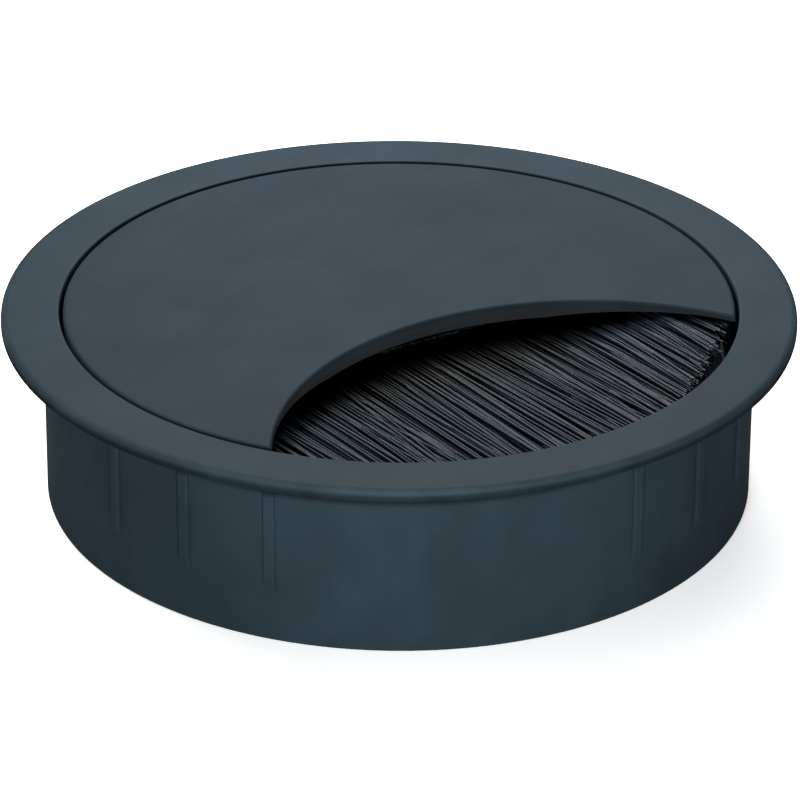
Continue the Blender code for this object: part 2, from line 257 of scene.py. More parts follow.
class Finish:
    # one material: add() makes any node, and paint() sets the shader's own sockets
    def __init__(self, name):
        self.material = bpy.data.materials.new(name)
        self.material.use_nodes = True
        self.tree = self.material.node_tree
        self.place = self.add("ShaderNodeTexCoord", {}, {}, "Object")

    def join(self, node, key, value):
        socket = node.inputs[key]
        if isinstance(value, Wire):
            self.tree.links.new(value.socket, socket)
        else:
            socket.default_value = opaque(value) if socket.type == "RGBA" else value

    def add(self, kind, settings, values, output=0):
        node = self.tree.nodes.new(kind)
        for key, value in settings.items():
            if key == "stops":
                self.setStops(node.color_ramp, value)
            else:
                setattr(node, key, value)
        for key, value in values.items():
            self.join(node, key, value)
        return Wire(self, node.outputs[output])

    def setStops(self, ramp, stops):
        ramp.elements.remove(ramp.elements[1])
        ramp.elements[0].position = stops[0][0]
        ramp.elements[0].color = opaque(stops[0][1])
        for place, tone in stops[1:]:
            ramp.elements.new(place).color = opaque(tone)

    def paint(self, **values):
        names = {"colour": "Base Color", "coat": "Coat Weight", "coatRoughness": "Coat Roughness",
                 "specular": "Specular IOR Level", "ior": "IOR", "glow": "Emission Color",
                 "glowStrength": "Emission Strength"}
        for key, value in values.items():
            self.join(self.tree.nodes["Principled BSDF"], names.get(key, key.title()), value)
        return self.material

    def axes(self):
        parts = self.add("ShaderNodeSeparateXYZ", {}, {0: self.place})
        return [Wire(self, output) for output in parts.socket.node.outputs]

    def noise(self, scale, detail=3.0, roughness=0.6, vector=None):
        # scale is in features per metre
        values = {"Vector": vector or self.place, "Scale": scale, "Detail": detail, "Roughness": roughness}
        return self.add("ShaderNodeTexNoise", {}, values)

    def streaks(self, size, turn=0.0, detail=3.0):
        # noise whose features have a size in millimetres along each axis, turned about Z
        values = {"Vector": self.place, "Rotation": (0, 0, radians(turn)), "Scale": scaled(size, mm)}
        drawn = self.add("ShaderNodeMapping", {"vector_type": "TEXTURE"}, values)
        return self.noise(1.0, detail, 0.55, drawn)

    def between(self, value, low, high):
        # 0 below low, 1 above high, smooth in between
        settings = {"interpolation_type": "SMOOTHSTEP"}
        values = {"Value": value, "From Min": low, "From Max": high}
        return self.add("ShaderNodeMapRange", settings, values)

    def ramp(self, value, stops):
        return self.add("ShaderNodeValToRGB", {"stops": stops}, {"Fac": value})

    def worn(self, circles, field):
        # 1 along each circle about the vertical axis, broken up by a noise field
        x, y, z = self.axes()
        total = 0.0
        for centre, radius, half in circles:
            away = ((x * x + (y - centre) ** 2.0) ** 0.5 - radius).size()
            total = total + (1 - self.between(away, 0.0, half))
        return total * self.between(field, 0.40, 0.60)

    def mix(self, factor, first, second):
        return self.add("ShaderNodeMix", {"data_type": "RGBA"}, {0: factor, 6: first, 7: second}, 2)

    def bump(self, height, distance, strength=1.0, under=None):
        values = {"Height": height, "Distance": distance, "Strength": strength}
        if under:
            values["Normal"] = under
        return self.add("ShaderNodeBump", {}, values)


def mouldedPlastic(name, tone, roughness, grainDepth, specular=0.5, sheen=(0.0, 0.0), lower=None, edges=(),
                   paintedShadeBand=None):
    # spark-eroded moulded plastic: fine pits, faint mottling and flow, light scuffs, edges rubbed paler.
    # lower is the tone, top and softness of a smoother zone below the top face, toned apart as painted light
    # and shade
    # for how light falls on the sides: painted shade on the tube and the flange's edge, painted light on the
    # cover's lip and underside; sheen is the coat there and above it; edges lists rubbed circles by centre
    # y, radius and half width;
    # the last argument is four heights, from the bottom up, and a painted shadow darkens the band between
    # them
    finish = Finish(name)
    pits = finish.noise(5200, 2.0, 0.55)
    cells = finish.add("ShaderNodeTexVoronoi", {}, {"Vector": finish.place, "Scale": 4300})
    mottle = finish.noise(90, 4.0)
    flow = finish.streaks((18, 5, 18), 28)
    scuffs = finish.between(finish.streaks((14, 0.3, 3), -37, 2.0), 0.68, 0.76)
    scuffs = scuffs * finish.between(finish.noise(70, 2.0), 0.52, 0.68)
    dust = finish.between(finish.noise(2600, 3.0, 0.7), 0.66, 0.76)
    rubbed = finish.worn(edges, mottle)
    field = mottle * 0.7 + flow * 0.3
    colour = finish.ramp(field, [(0.36, scaled(tone, 0.9)), (0.5, tone), (0.64, scaled(tone, 1.1))])
    relief = pits * 0.6 + cells * 0.4
    rough = roughness + (mottle - 0.5) * 0.16 + (pits - 0.5) * 0.10
    coat = sheen[1]
    level = finish.axes()[2]
    # painted light and shade: below the top face the surface takes the side tone, darker on the tube as
    # painted shade and paler on the cover's lip as painted light
    if lower:
        deep, height, softness = lower
        paintedSideMask = finish.between(level, height - softness, height)
        paintedSideColour = finish.ramp(field, [(0.36, scaled(deep, 0.85)), (0.5, deep), (0.64, scaled(deep, 1.15))])
        colour = finish.mix(paintedSideMask, paintedSideColour, colour)
        relief = relief * (paintedSideMask * 0.7 + 0.3)
        coat = sheen[0] + paintedSideMask * (sheen[1] - sheen[0])
    # painted shadow: a dark band under the flange's overhang, over the tube's top and the flange's underside
    # and edge
    if paintedShadeBand:
        paintedShadow = finish.between(level, paintedShadeBand[0], paintedShadeBand[1]) * (1 - finish.between(level, paintedShadeBand[2], paintedShadeBand[3]))
        colour = finish.mix(paintedShadow * 0.78, colour, (0.003, 0.005, 0.006))
        coat = coat * (1 - paintedShadow * 0.8)
    colour = finish.mix(scuffs * 0.06, colour, scaled(tone, 2.2))
    colour = finish.mix(rubbed * 0.3, colour, scaled(tone, 1.7))
    colour = finish.mix(dust * 0.04, colour, (0.35, 0.36, 0.37))
    rough = rough - rubbed * 0.12 + dust * 0.1 - scuffs * 0.06
    fine = finish.bump(relief, grainDepth)
    wavy = finish.bump(finish.noise(38, 2.0), 0.05 * mm, 0.35, fine)
    return finish.paint(colour=colour, roughness=rough, normal=wavy, specular=specular, ior=1.49,
                        coat=coat, coatRoughness=0.45)


def bristleNylon(name):
    # nylon filament: each strand has its own tone, darkened nearly to black near the root as painted shade
    # under the cover, and paler at the cut tip
    finish = Finish(name)
    tone = finish.add("ShaderNodeAttribute", {"attribute_name": "strandTone"}, {}, "Fac")
    along = finish.add("ShaderNodeAttribute", {"attribute_name": "strandAlong"}, {}, "Fac")
    colour = finish.ramp(tone, [(0.0, (0.0048, 0.0072, 0.0110)), (0.4, (0.0098, 0.0148, 0.0212)),
                                (0.7, (0.0170, 0.0262, 0.0365)), (1.0, (0.040, 0.062, 0.082))])
    # painted shade: strands nearly black from the root to past the lip, where the cover shades them
    colour = finish.mix(finish.between(along, 0.32, 0.55), (0.0012, 0.0015, 0.002), colour)
    colour = finish.mix(finish.between(along, 0.965, 1.0) * 0.3, colour, (0.10, 0.11, 0.12))
    rough = 0.36 + finish.noise(2400) * 0.16
    drawn = finish.streaks((0.11, 1.4, 0.11), 0, 2.0)
    drawn = finish.bump(drawn, 0.006 * mm, 0.6)
    return finish.paint(colour=colour, roughness=rough, normal=drawn, ior=1.53, specular=0.04)


def rootNylon(name):
    # packed filaments, seen only as fine lines inside the channel
    finish = Finish(name)
    lines = finish.streaks((0.24, 11, 0.38))
    colour = finish.ramp(lines, [(0.35, (0.004, 0.005, 0.006)), (0.6, (0.018, 0.020, 0.025)),
                                 (0.75, (0.040, 0.045, 0.052))])
    grooves = finish.bump(lines, 0.1 * mm, 0.9)
    return finish.paint(colour=colour, roughness=0.42 + lines * 0.1, normal=grooves, ior=1.53)


def platedSteel(name, tone, size):
    # zinc-plated steel: fine lines along one axis, cloudy passivation, scattered dull spots
    finish = Finish(name)
    lines = finish.streaks(size)
    clouds = finish.noise(260, 4.0, 0.65)
    spots = finish.between(finish.noise(1500, 3.0, 0.7), 0.62, 0.74)
    colour = finish.ramp(clouds, [(0.3, scaled(tone, 0.78)), (0.55, tone), (0.75, scaled(tone, 1.12))])
    colour = finish.mix(spots * 0.4, colour, scaled(tone, 0.5))
    rough = 0.30 + (lines - 0.5) * 0.22 + spots * 0.2 + (clouds - 0.5) * 0.14
    grooves = finish.bump(lines, 0.008 * mm, 0.7)
    return finish.paint(colour=colour, roughness=rough, metallic=1.0, normal=grooves)


def ringAcetal(name, tone):
    # acetal, turned smooth: waxy, with faint rings from the tool
    finish = Finish(name)
    x, y, z = finish.axes()
    reach = (x * x + y * y) ** 0.5
    rings = finish.noise(9000, 1.0, 0.5, finish.add("ShaderNodeCombineXYZ", {}, {0: reach, 1: z}))
    haze = finish.noise(240)
    colour = finish.ramp(haze, [(0.3, scaled(tone, 0.85)), (0.7, scaled(tone, 1.15))])
    grooves = finish.bump(rings, 0.006 * mm, 0.5)
    return finish.paint(colour=colour, roughness=0.30 + haze * 0.16, normal=grooves)


def paleFloor(name):
    # nearly white, with a little glow so that the shadow stays faint
    finish = Finish(name)
    colour = finish.ramp(finish.noise(9), [(0.3, (0.83, 0.83, 0.83)), (0.7, (0.86, 0.86, 0.86))])
    grit = finish.bump(finish.noise(900, 2.0), 0.02 * mm, 0.2)
    return finish.paint(colour=colour, roughness=0.85, normal=grit, specular=0.2,
                        glow=(1, 1, 1), glowStrength=0.45)


def dress(piece, material, slotName, body=None, *replaced):
    piece.data.materials.clear()
    piece.data.materials.append(material)
    if body:
        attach(piece, body)
    if replaced:
        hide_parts(*replaced)


# the tube's tone is darker than the flange's as painted shade on its side, and the lip's tone paler than the
# cover's as painted light on the lip face
flangeTone = (0.0200, 0.0300, 0.0378)
coverTone = (0.0172, 0.0255, 0.0330)
tubePaintedShadeTone = (0.0122, 0.0205, 0.0255)
lipPaintedLightTone = (0.0290, 0.0330, 0.0370)
# the tube and the flange's edge take a darker tone as painted shade, and the band under the flange is
# darkened as painted shadow
sleevePlastic = mouldedPlastic("moulded_sleeve_plastic", flangeTone, 0.55, 0.020 * mm, 0.0, (0.035, 0.05),
                               (tubePaintedShadeTone, rimTop - 0.30 * mm, 0.45 * mm),
                               [(0, flangeRadius - 0.25 * mm, 0.35 * mm), (0, 38.12 * mm, 0.22 * mm)],
                               [rimTop - depth * mm for depth in (4.7, 3.8, 1.1, 0.15)])
# the cover's lip face and underside take a paler tone of their own as painted light
coverPlastic = mouldedPlastic("moulded_cover_plastic", coverTone, 0.55, 0.022 * mm, 0.0, (0.01, 0.042),
                              (lipPaintedLightTone, rimTop - 0.25 * mm, 0.5 * mm),
                              [(0, coverRadius - 0.12 * mm, 0.25 * mm),
                               (mouth["centreY"] * mm, (mouth["radius"] + 0.12) * mm, 0.25 * mm)])
clampPlastic = mouldedPlastic("moulded_clamp_plastic", (0.022, 0.028, 0.033), 0.55, 0.03 * mm)
acetal = ringAcetal("turning_ring_acetal", (0.020, 0.024, 0.028))
nylon = bristleNylon("bristle_nylon_filament")
roots = rootNylon("bristle_nylon_packed")
# the channel strip takes a near-black tone as painted shade, so that it sinks into the shade under the lip
strip = platedSteel("strip_steel_darkened_as_shade", (0.085, 0.090, 0.10), (11, 0.11, 0.11))
wire = platedSteel("drawn_core_wire", (0.40, 0.40, 0.41), (16, 0.11, 0.11))
screwSteel = platedSteel("zinc_plated_screw_steel", (0.55, 0.56, 0.58), (1.1, 1.1, 0.08))
print("finishes ready")


# sleeve: flange, tube, inner ledge and crush ribs

sleeveSizes = {"sides": 288, "tube": 39.85, "seat": 38.0, "flangeEdge": 1.3, "ledge": 36.7,
               "ledgeTop": 14.2, "ledgeHeight": 1.0, "groups": 4, "inGroup": 3, "pitch": 15.0, "phase": 22.8,
               "ribWidth": 1.3, "ribHeight": 0.35, "ribBottom": 5.6, "ribRunout": 2.0}


def makeRib(s, top):
    # a bar let into the wall, its crest rounded, running out to nothing at its lower end
    half, crest, root = s["ribWidth"] / 2 * mm, (s["tube"] + s["ribHeight"]) * mm, (s["tube"] - 0.6) * mm
    low, full = s["ribBottom"] * mm, (s["ribBottom"] + s["ribRunout"]) * mm
    rib = addBlock("crush_rib", (root, -half, low), (crest, half, top))
    bpy.ops.mesh.select_all(action="SELECT")
    bpy.ops.mesh.bisect(plane_co=(0, 0, full), plane_no=(0, 0, 1))
    pick("VERT", lambda v: v.co.z < low + 0.1 * mm and v.co.x > crest - 0.1 * mm)
    bpy.ops.transform.translate(value=(-(s["ribHeight"] + 0.1) * mm, 0, 0))
    pick("EDGE", lambda e: isUpright(e) and all(v.co.x > root + 0.2 * mm for v in e.verts))
    bpy.ops.mesh.bevel(offset=0.2 * mm, segments=4)
    return closePiece(rib)


def makeSleeve(s):
    top, out = rimTop / mm, flangeRadius / mm
    under, ledgeFoot = top - s["flangeEdge"], s["ledgeTop"] - s["ledgeHeight"]
    slope = s["seat"] - s["ledge"]
    liner = turnPiece("grommet_sleeve", roundedOutline([
        (s["seat"], 0, 0.3), (s["tube"], 0, 0.4), (s["tube"], under, 0.2), (out, under, 0.2),
        (out, top, 0.75), (s["seat"], top, 0.28), (s["seat"], s["ledgeTop"], 0.15),
        (s["ledge"], s["ledgeTop"], 0.2), (s["ledge"], ledgeFoot, 0.2),
        (s["seat"], ledgeFoot - slope, 0.3)]), s["sides"])
    rib = makeRib(s, (under + 0.3) * mm)
    for place in range(s["groups"] * s["inGroup"]):
        group, inGroup = divmod(place, s["inGroup"])
        twin = copyPiece(rib, "crush_rib_%02d" % place)
        twin.rotation_euler.z = radians(s["phase"] + group * 360 / s["groups"] + (inGroup - 1) * s["pitch"])
        combine(liner, closePiece(twin), "UNION")
    bpy.data.objects.remove(rib)
    smoothOff(liner, 40)
    dress(liner, sleevePlastic, "sleeve_plastic", "sleeve", "sleeve")


makeSleeve(sleeveSizes)
print("sleeve done")


# glide ring, with shallow grease grooves round its top

ringSizes = {"sides": 192, "inner": 36.5, "round": 0.25}


def makeGlideRing(s):
    low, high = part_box("glide_ring")
    outer, bottom, top = high.x / mm, low.z / mm, high.z / mm
    middle, deep = (s["inner"] + outer) / 2, 0.18
    ring = turnPiece("turning_ring", roundedOutline([
        (s["inner"], bottom, s["round"]), (outer, bottom, s["round"]), (outer, top, s["round"]),
        (middle + 0.22, top, 0.04), (middle + 0.14, top - deep, 0.04), (middle - 0.14, top - deep, 0.04),
        (middle - 0.22, top, 0.04), (s["inner"], top, s["round"])], 3, 0.02), s["sides"])
    smoothOff(ring, 40)
    dress(ring, acetal, "ring_acetal", "turning_ring", "glide_ring")


makeGlideRing(ringSizes)
print("glide ring done")


# cover: plate with its bite, and below it the skirt, screw bosses, ribs, pads and end stops

coverSizes = {"sides": 288, "plate": 2.0, "edge": 0.38, "tipClear": 1.1,
              "skirtOuter": 37.4, "skirtInner": 36.2, "skirtMargin": 8.0,
              "bossRadius": 3.0, "bossBottom": 14.2, "bossRoof": 0.4, "pilotRadius": 1.5,
              "screwX": 20.0, "screwY": 6.3,
              "ribX": (-13.0, 0.0, 13.0), "ribStart": 11.0, "ribWidth": 1.2, "ribDrop": 1.6,
              "stopX": 30.8, "stopWidth": 2.0, "stopHalf": 2.0,
              "padHalf": 3.0, "padGap": 0.9, "padFront": -2.3, "overlap": 0.3, "ribReach": 0.4,
              "reliefStart": 13.0, "reliefFull": 28.0, "reliefDepth": 1.3, "reliefBack": -8.6}


def tipAngle():
    # angle from -Y to each tip of the bite
    radius, centre = mouth["radius"] * mm, mouth["centreY"] * mm
    reach = (coverRadius ** 2 - radius ** 2 + centre ** 2) / (2 * centre)
    return atan2(sqrt(coverRadius ** 2 - reach ** 2), -reach)


def makePlate(s, bottom):
    plate = closePiece(addRod("grommet_cover", coverRadius, bottom, rimTop, sides=s["sides"]))
    bite = closePiece(addRod("bite_tool", mouth["radius"] * mm, bottom - mm, rimTop + mm,
                             (0, mouth["centreY"] * mm), s["sides"]))
    combine(plate, bite)
    openPiece(plate)
    tip = Vector((sin(tipAngle()), -cos(tipAngle()))) * coverRadius

    def besideTip(edge):
        corner = edge.verts[0].co
        return 0.05 * mm < (Vector((abs(corner.x), corner.y)) - tip).length < s["tipClear"] * mm
    pick("EDGE", lambda e: isUpright(e) and besideTip(e))
    bpy.ops.mesh.dissolve_edges(use_verts=True)      # leaves room at each tip for the rounded edge
    for height, width, segments in ((rimTop, s["edge"] * mm, 5), (bottom, 0.15 * mm, 2)):
        pick("EDGE", lambda e: atHeight(e, height))
        bpy.ops.mesh.bevel(offset=width, segments=segments)
        pick("FACE", lambda f: abs(f.normal.z) > 0.99 and abs(f.calc_center_median().z - height) < hair)
        bpy.ops.mesh.inset(thickness=0.12 * mm)
        bpy.ops.mesh.quads_convert_to_tris(ngon_method="BEAUTY")
    return closePiece(plate)


def relieve(s, plate, bottom):
    # towards each tip the plate is hollowed from below, so that the bristles can rise
    far = coverRadius + mm
    for side in (-1, 1):
        ends = sorted((side * s["reliefStart"] * mm, side * far))
        tool = addBlock("relief_tool", (ends[0], -far, bottom - mm),
                        (ends[1], s["reliefBack"] * mm, bottom))
        bpy.ops.mesh.select_all(action="SELECT")
        bpy.ops.mesh.bisect(plane_co=(side * s["reliefFull"] * mm, 0, 0), plane_no=(1, 0, 0))
        pick("VERT", lambda v: v.co.z > bottom - 0.1 * mm and abs(v.co.x) > (s["reliefFull"] - 0.1) * mm)
        bpy.ops.transform.translate(value=(0, 0, s["reliefDepth"] * mm))
        combine(plate, closePiece(tool))


def makeSkirt(s, bottom, top):
    # its section, drawn once and spun round the covered part only
    wide, tall = (s["skirtOuter"] - s["skirtInner"]) * mm, top - bottom
    start = -pi / 2 + tipAngle() + radians(s["skirtMargin"])
    restAll()
    bpy.ops.mesh.primitive_plane_add(size=1)
    skirt = openPiece(bpy.context.object, "cover_skirt")
    bpy.ops.transform.resize(value=(wide, tall, 1), center_override=(0, 0, 0))
    bpy.ops.transform.rotate(value=-pi / 2, orient_axis="X", center_override=(0, 0, 0))
    bpy.ops.mesh.bevel(offset=0.25 * mm, segments=3, affect="VERTICES")
    bpy.ops.transform.translate(value=(s["skirtInner"] * mm + wide / 2, 0, (bottom + top) / 2))
    bpy.ops.transform.rotate(value=-start, orient_axis="Z", center_override=(0, 0, 0))
    bpy.ops.mesh.spin(steps=180, angle=-2 * (pi / 2 - start), center=(0, 0, 0), axis=(0, 0, 1))
    bpy.ops.mesh.select_all(action="SELECT")
    bpy.ops.mesh.normals_make_consistent(inside=False)
    return closePiece(skirt)


def softBlock(name, low, high, width=0.2):
    # a block with its lower edges and corners eased
    block = addBlock(name, low, high)
    pick("EDGE", lambda e: any(v.co.z < low[2] + hair for v in e.verts))
    bpy.ops.mesh.bevel(offset=width * mm, segments=2)
    return closePiece(block)


def makeCover(s):
    bottom = rimTop - s["plate"] * mm
    into = bottom + s["overlap"] * mm
    top = makePlate(s, bottom)
    relieve(s, top, bottom)
    added = [makeSkirt(s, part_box("glide_ring")[1].z + clearance * mm, into)]
    holes = []
    for side in (-1, 1):
        spot = (side * s["screwX"] * mm, s["screwY"] * mm)
        boss = addRod("screw_boss", s["bossRadius"] * mm, s["bossBottom"] * mm, into, spot)
        pick("EDGE", lambda e: atHeight(e, s["bossBottom"] * mm))
        bpy.ops.mesh.bevel(offset=0.3 * mm, segments=3)
        added.append(closePiece(boss))
        holes.append(closePiece(addRod("pilot_hole", s["pilotRadius"] * mm, (s["bossBottom"] - 1) * mm,
                                       bottom - s["bossRoof"] * mm, spot, 40)))
        ends = sorted((side * s["stopX"] * mm, side * (s["stopX"] + s["stopWidth"]) * mm))
        stopBottom = rimTop - hinge["belowRim"] * mm
        added.append(softBlock("end_stop", (ends[0], -s["stopHalf"] * mm, stopBottom),
                               (ends[1], s["stopHalf"] * mm, into)))
    padBottom = rimTop - (hinge["belowRim"] - brushLayer["thickness"] - s["padGap"] - clearance) * mm
    for x in s["ribX"]:
        far = sqrt(s["skirtInner"] ** 2 - x ** 2) + s["ribReach"]
        half, ribBottom = s["ribWidth"] / 2, bottom - s["ribDrop"] * mm
        added.append(softBlock("cover_rib", ((x - half) * mm, s["ribStart"] * mm, ribBottom),
                               ((x + half) * mm, far * mm, into)))
        added.append(softBlock("channel_pad", ((x - s["padHalf"]) * mm, s["padFront"] * mm, padBottom),
                               ((x + s["padHalf"]) * mm, 0, into), 0.1))
    for piece in added:
        combine(top, piece, "UNION")
    for hole in holes:
        combine(top, hole)
    smoothOff(top, 40)
    dress(top, coverPlastic, "cover_plastic", "cover", "cover")


makeCover(coverSizes)
print("cover done")


# brush channel: a strip folded round the filaments, pinched along both lips

channelSizes = {"length": 61.0, "depth": 5.5, "wall": 0.6, "fold": 0.95, "pinches": 19, "pinchPitch": 3.1,
                "pinchRadius": 0.6, "pinchDepth": 0.13, "pinchBack": 1.2}


def tipUp(piece):
    # from the level brush to its place under the cover
    piece.rotation_euler.x = -hinge["tilt"]
    piece.location = (0, hinge["y"] * mm, rimTop - hinge["belowRim"] * mm)
    return closePiece(piece)


def foldedBlock(name, low, high, fold):
    block = addBlock(name, low, high)
    pick("EDGE", lambda e: runsAcross(e) and all(v.co.y > high[1] - hair for v in e.verts))
    bpy.ops.mesh.bevel(offset=fold, segments=6)
    return closePiece(block)


def makeChannel(s):
    half, wall, front = s["length"] / 2 * mm, s["wall"] * mm, clearance * mm
    back = front + s["depth"] * mm
    low, high = -front - wall, brushLayer["thickness"] * mm + front + wall
    channel = foldedBlock("brush_channel_strip", (-half, front, low), (half, back, high), s["fold"] * mm)
    hollow = foldedBlock("channel_hollow", (-half - mm, front - mm, low + wall),
                         (half + mm, back - wall, high - wall), s["fold"] * mm - wall)
    combine(channel, hollow)
    openPiece(channel)
    pick("EDGE", lambda e: runsAcross(e) and all(v.co.y < front + hair for v in e.verts))
    bpy.ops.mesh.bevel(offset=0.15 * mm, segments=3)
    closePiece(channel)
    away = (s["pinchRadius"] - s["pinchDepth"]) * mm
    for height in (low - away, high + away):
        for place in range(s["pinches"]):
            restAll()
            x = (place - (s["pinches"] - 1) / 2) * s["pinchPitch"] * mm
            spot = (x, front + s["pinchBack"] * mm, height)
            bpy.ops.mesh.primitive_cylinder_add(vertices=20, radius=s["pinchRadius"] * mm, depth=3 * mm,
                                                location=spot, rotation=(pi / 2, 0, 0))
            combine(channel, closePiece(bpy.context.object))
    tipUp(channel)
    smoothOff(channel, 40)
    dress(channel, strip, "zinc_plated_strip", "cover", "brush_channel")


makeChannel(channelSizes)
print("channel done")


# clamp bar under the channel, with shallow pockets between its ribs

clampSizes = {"corner": 2.5, "edge": 0.3, "holeRadius": 1.5, "sink": 0.5, "pockets": (-8.4, 0.0, 8.4),
              "pocketHalf": 3.4, "pocketMargin": 1.6, "pocketCorner": 0.8}


def makeClamp(s):
    low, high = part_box("brush_clamp")
    bar = addBlock("brush_clamp_bar", low, high)
    pick("EDGE", isUpright)
    bpy.ops.mesh.bevel(offset=s["corner"] * mm, segments=8)
    for height in (low.z, high.z):
        pick("EDGE", lambda e: atHeight(e, height))
        bpy.ops.mesh.bevel(offset=s["edge"] * mm, segments=3)
    closePiece(bar)
    for side in (-1, 1):
        spot = (side * coverSizes["screwX"] * mm, coverSizes["screwY"] * mm)
        hole = addRod("clamp_hole", s["holeRadius"] * mm, low.z - mm, high.z + mm, spot, 40)
        combine(bar, closePiece(hole))
    margin = s["pocketMargin"] * mm
    for x in s["pockets"]:
        pocket = addBlock("clamp_pocket", ((x - s["pocketHalf"]) * mm, low.y + margin, low.z - mm),
                          ((x + s["pocketHalf"]) * mm, high.y - margin, low.z + s["sink"] * mm))
        pick("EDGE", isUpright)
        bpy.ops.mesh.bevel(offset=s["pocketCorner"] * mm, segments=5)
        combine(bar, closePiece(pocket))
    smoothOff(bar, 40)
    dress(bar, clampPlastic, "clamp_plastic", "cover", "brush_clamp")


makeClamp(clampSizes)
print("clamp done")


# screws: pan head with a cross recess, head down, and a thread wound round the shank

screwSizes = {"head": 2.8, "headHeight": 1.8, "core": 0.92, "thread": 1.2, "threadHalf": 0.3, "pitch": 0.9,
              "turns": 7, "recessLong": 2.7, "recessWide": 0.62, "recessDeep": 1.0, "leftTurn": 35,
              "rightTurn": 68}


def makeScrew(s):
    low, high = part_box("clamp_screw_left")
    bottom, top = low.z / mm, high.z / mm
    neck = bottom + s["headHeight"]
    dome = [(0.42, bottom), (0.68, bottom + 0.12), (0.86, bottom + 0.36), (0.96, bottom + 0.72),
            (1.0, bottom + 1.1), (1.0, neck - 0.2), (0.985, neck - 0.06), (0.95, neck)]
    outline = [(s["head"] * share, height) for share, height in dome]
    outline += [(s["core"] + 0.2, neck), (s["core"], neck + 0.2), (s["core"], top - 1.0),
                (s["core"] * 0.55, top)]
    screw = turnPiece("screw_shape", [(r * mm, z * mm) for r, z in outline], 48, closed=False)
    for turn in (0, pi / 2):
        long, wide = s["recessLong"] / 2 * mm, s["recessWide"] / 2 * mm
        floor = (bottom + s["recessDeep"]) * mm
        bar = addBlock("recess_bar", (-long, -wide, (bottom - 1) * mm), (long, wide, floor))
        pick("VERT", lambda v: v.co.z > bottom * mm)
        bpy.ops.transform.resize(value=(0.5, 0.8, 1), center_override=(0, 0, floor))
        closePiece(bar)
        bar.rotation_euler.z = turn
        combine(screw, closePiece(bar))
    # the thread: a small triangle wound upwards by the screw modifier, its two ends closed
    restAll()
    bpy.ops.mesh.primitive_circle_add(vertices=3, radius=s["threadHalf"] * mm, rotation=(pi / 2, 0, 0))
    thread = bpy.context.object
    thread.name = thread.data.name = "screw_thread"
    closePiece(thread)
    thread.location = ((s["thread"] - s["threadHalf"]) * mm, 0, (neck + 0.5) * mm)
    closePiece(thread)
    applyModifier(thread, "SCREW", axis="Z", angle=2 * pi, screw_offset=s["pitch"] * mm,
                  iterations=s["turns"], steps=24, render_steps=24, use_normal_calculate=True)
    openPiece(thread)
    bpy.ops.mesh.select_all(action="SELECT")
    bpy.ops.mesh.fill_holes(sides=4)
    bpy.ops.mesh.normals_make_consistent(inside=False)
    closePiece(thread)
    joinInto(screw, [thread])
    smoothOff(screw, 40)
    return screw


def makeScrews(s):
    pattern = makeScrew(s)
    for side, label in ((-1, "left"), (1, "right")):
        screw = copyPiece(pattern, "pan_head_screw_" + label)
        screw.location = (side * coverSizes["screwX"] * mm, coverSizes["screwY"] * mm, 0)
        screw.rotation_euler.z = radians(s[label + "Turn"])
        closePiece(screw)
        dress(screw, screwSteel, "screw_zinc", "cover", "clamp_screw_" + label)
    bpy.data.objects.remove(pattern)


makeScrews(screwSizes)
dress(bpy.data.objects["brush_core_wire"], wire, "core_wire")
dress(bpy.data.objects["bristle_roots"], roots, "bristle_nylon")
print("screws, core wire and roots done")


# tufts: one filament, modelled once, repeated and laid strand by strand from the channel to the wall

tuftSizes = {"count": 14, "strands": 112, "radius": 0.165, "sides": 5, "rows": 9, "insideChannel": 2.2,
             "tipRadius": 37.25, "tipSpare": 0.3, "ragged": 0.3, "clumps": 11, "gather": 0.34,
             "clumpTilt": 1.5, "strandTilt": 0.8, "bow": 0.22, "margin": 0.13, "lift": 1.7, "short": 1.3,
             "endShort": 0.6, "bendLength": 11, "seed": 41}


def makeFilament(s):
    # a thin rod, one long, with rings of vertices along it and a blunt cut tip
    restAll()
    bpy.ops.mesh.primitive_circle_add(vertices=s["sides"], radius=s["radius"] * mm, fill_type="NGON")
    filament = openPiece(bpy.context.object, "bristle_filament")
    bpy.ops.mesh.select_all(action="SELECT")
    for row in range(s["rows"]):
        bpy.ops.mesh.extrude_region_move(TRANSFORM_OT_translate={"value": (0, 0, 1 / s["rows"])})
        if row == s["rows"] - 1:
            bpy.ops.transform.resize(value=(0.8, 0.8, 1))
    bpy.ops.mesh.select_all(action="SELECT")
    bpy.ops.mesh.normals_make_consistent(inside=False)
    return closePiece(filament)


